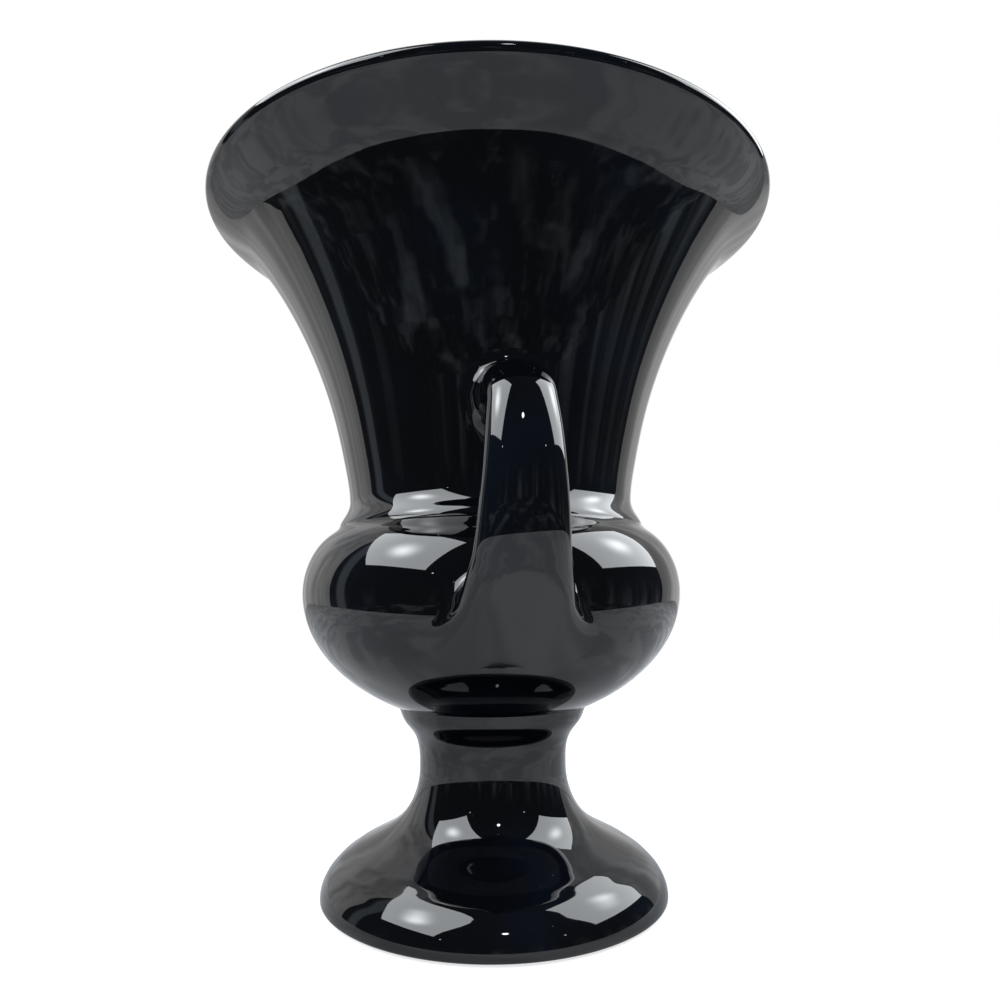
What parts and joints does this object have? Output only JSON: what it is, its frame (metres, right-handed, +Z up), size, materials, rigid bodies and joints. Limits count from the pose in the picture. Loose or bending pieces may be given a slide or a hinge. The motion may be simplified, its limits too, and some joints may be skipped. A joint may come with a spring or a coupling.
{
  "type": "double-handled urn vase",
  "caption": "Glazed ceramic urn vase on a pedestal foot, with a flared everted cup, a beaded collar, a round belly and looped handles on opposite sides.",
  "frame": {"origin": "centre of the foot ring's resting plane, on the axis the vase is turned about", "axes": "+Z up along the axis of revolution towards the rim; the handles lie in the YZ plane, the front handle towards -Y and the back handle towards +Y; +X to the right seen from the front handle"},
  "size_m": [0.257, 0.257, 0.32],
  "materials": {
    "cup_glaze": "deep black high-gloss glaze",
    "belly_glaze": "deep black high-gloss glaze",
    "foot_glaze": "deep black high-gloss glaze over a dry buff foot ring",
    "handle_glaze": "deep black high-gloss glaze"
  },
  "bodies": {
    "root": {"flared_cup": "cup_glaze", "belly_bowl": "belly_glaze", "pedestal_foot": "foot_glaze", "front_handle": "handle_glaze", "back_handle": "handle_glaze"}
  },
  "joints": []
}
